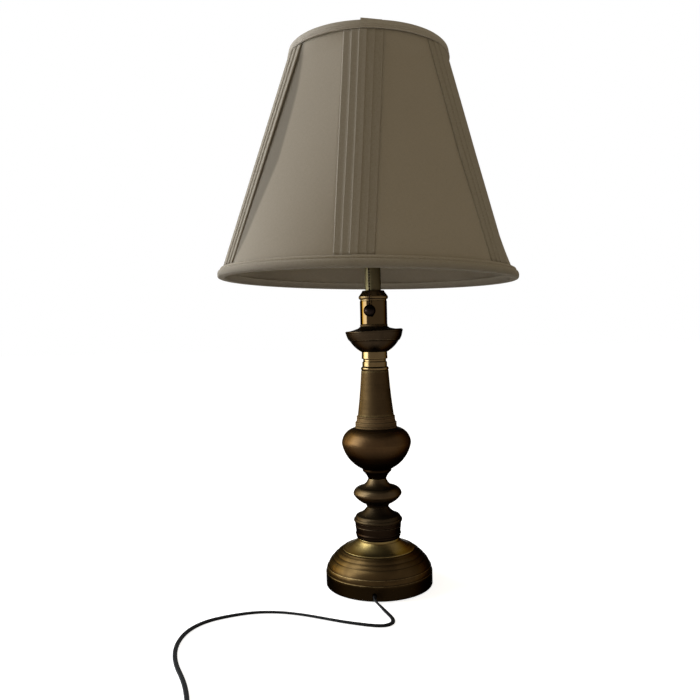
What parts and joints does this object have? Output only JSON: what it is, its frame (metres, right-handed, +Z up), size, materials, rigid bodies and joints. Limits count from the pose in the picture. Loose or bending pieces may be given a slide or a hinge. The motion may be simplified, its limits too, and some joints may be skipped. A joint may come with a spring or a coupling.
{
  "type": "candlestick table lamp",
  "caption": "Tall turned brass candlestick lamp with a round stepped base, a pull-chain lampholder, a harp and a tapered fabric shade with pleated strips.",
  "frame": {"origin": "middle of the base's underside, on the surface that the lamp stands on", "axes": "+Z up along the stem, +X to the right and +Y away from the side with the pull chain and the cord slot"},
  "size_m": [0.3793, 0.5715, 0.658],
  "materials": {
    "dark_brass": "antiqued, satin",
    "bright_brass": "polished",
    "dark_bronze": "antiqued, glossy",
    "base_iron": "rough",
    "felt": "matt",
    "zinc_steel": "satin",
    "harp_brass": "satin",
    "switch_plastic": "matt",
    "liner_card": "matt",
    "opal_glass": "frosted",
    "bulb_aluminium": "satin",
    "shade_fabric": "matt, woven",
    "shade_trim": "matt",
    "lining_fabric": "matt",
    "cord_rubber": "satin",
    "plug_plastic": "satin",
    "tie_plastic": "matt"
  },
  "bodies": {
    "stand": {"base_shell": "dark_bronze", "felt_pad": "felt", "base_weight": "base_iron", "base_washer": "zinc_steel", "rod_nut": "zinc_steel", "threaded_rod": "zinc_steel", "base_bell": "dark_brass", "stem_drum": "dark_brass", "drum_cap": "dark_brass", "stem_knob": "dark_brass", "stem_vase": "dark_brass", "vase_collar": "bright_brass", "stem_column": "dark_brass", "column_ring": "bright_brass", "stem_neck": "dark_brass", "drip_pan": "dark_bronze", "pan_lid": "dark_bronze", "candle_ring": "bright_brass", "candle_sleeve": "bright_brass", "candle_cap": "bright_brass", "neck_tube": "dark_brass", "harp_saddle": "harp_brass", "harp_wire": "harp_brass", "harp_stud": "harp_brass", "socket_cap": "dark_brass", "socket_set_screw": "zinc_steel", "socket_shell": "dark_brass", "socket_liner": "liner_card", "socket_body": "switch_plastic", "switch_pin": "zinc_steel", "screw_shell": "bulb_aluminium", "centre_contact": "harp_brass", "terminal_screws": "harp_brass", "chain_guide": "dark_brass", "inner_cord": "cord_rubber", "cord_knot": "cord_rubber", "socket_wires": "cord_rubber", "cord_coil": "cord_rubber", "free_cord": "cord_rubber", "cord_tie": "tie_plastic", "plug_body": "plug_plastic", "plug_blades": "bulb_aluminium"},
    "shade": {"shade_cover": "shade_fabric", "shade_lining": "lining_fabric", "shade_bottom_ring": "zinc_steel", "shade_top_ring": "zinc_steel", "shade_bottom_trim": "shade_trim", "shade_top_trim": "shade_trim", "shade_pleats": "shade_trim", "shade_struts": "zinc_steel", "shade_spider": "harp_brass"},
    "finial": {"finial": "dark_brass"},
    "bulb": {"bulb_glass": "opal_glass", "bulb_cap": "bulb_aluminium", "bulb_tip": "zinc_steel"},
    "pull": {"pull_chain": "dark_brass", "pull_ball": "dark_bronze"},
    "rotor": {"switch_rotor": "switch_plastic"},
    "sleeve_left": {"harp_sleeve_left": "harp_brass"},
    "sleeve_right": {"harp_sleeve_right": "harp_brass"}
  },
  "joints": [
    {"name": "shade_turn", "type": "hinge", "parent": "stand", "child": "shade", "pos_m": [0, 0, 0.626], "axis": [0.0262, 0, 0.9997], "continuous": true},
    {"name": "finial_turn", "type": "hinge", "parent": "stand", "child": "finial", "pos_m": [0, 0, 0.628], "axis": [0, 0, 1], "continuous": true},
    {"name": "bulb_turn", "type": "hinge", "parent": "stand", "child": "bulb", "pos_m": [0, 0, 0.46], "axis": [0, 0, 1], "continuous": true},
    {"name": "chain_pull", "type": "slide", "parent": "stand", "child": "pull", "axis": [0, 0, -1], "range_m": [0, 0.009], "stiffness_N_per_m": 900, "springref_m": -0.001},
    {"name": "switch_turn", "type": "hinge", "parent": "stand", "child": "rotor", "pos_m": [-0.0013, -0.00739, 0.4452], "axis": [0.9848, -0.1736, 0], "range_deg": [0, 61]},
    {"name": "sleeve_left_slide", "type": "slide", "parent": "stand", "child": "sleeve_left", "axis": [0, 0, 1], "range_m": [0, 0.012]},
    {"name": "sleeve_right_slide", "type": "slide", "parent": "stand", "child": "sleeve_right", "axis": [0, 0, 1], "range_m": [0, 0.012]}
  ],
  "couplings": [
    {"joint": "switch_turn", "follows": "chain_pull", "rad_per_m": 116.36}
  ]
}
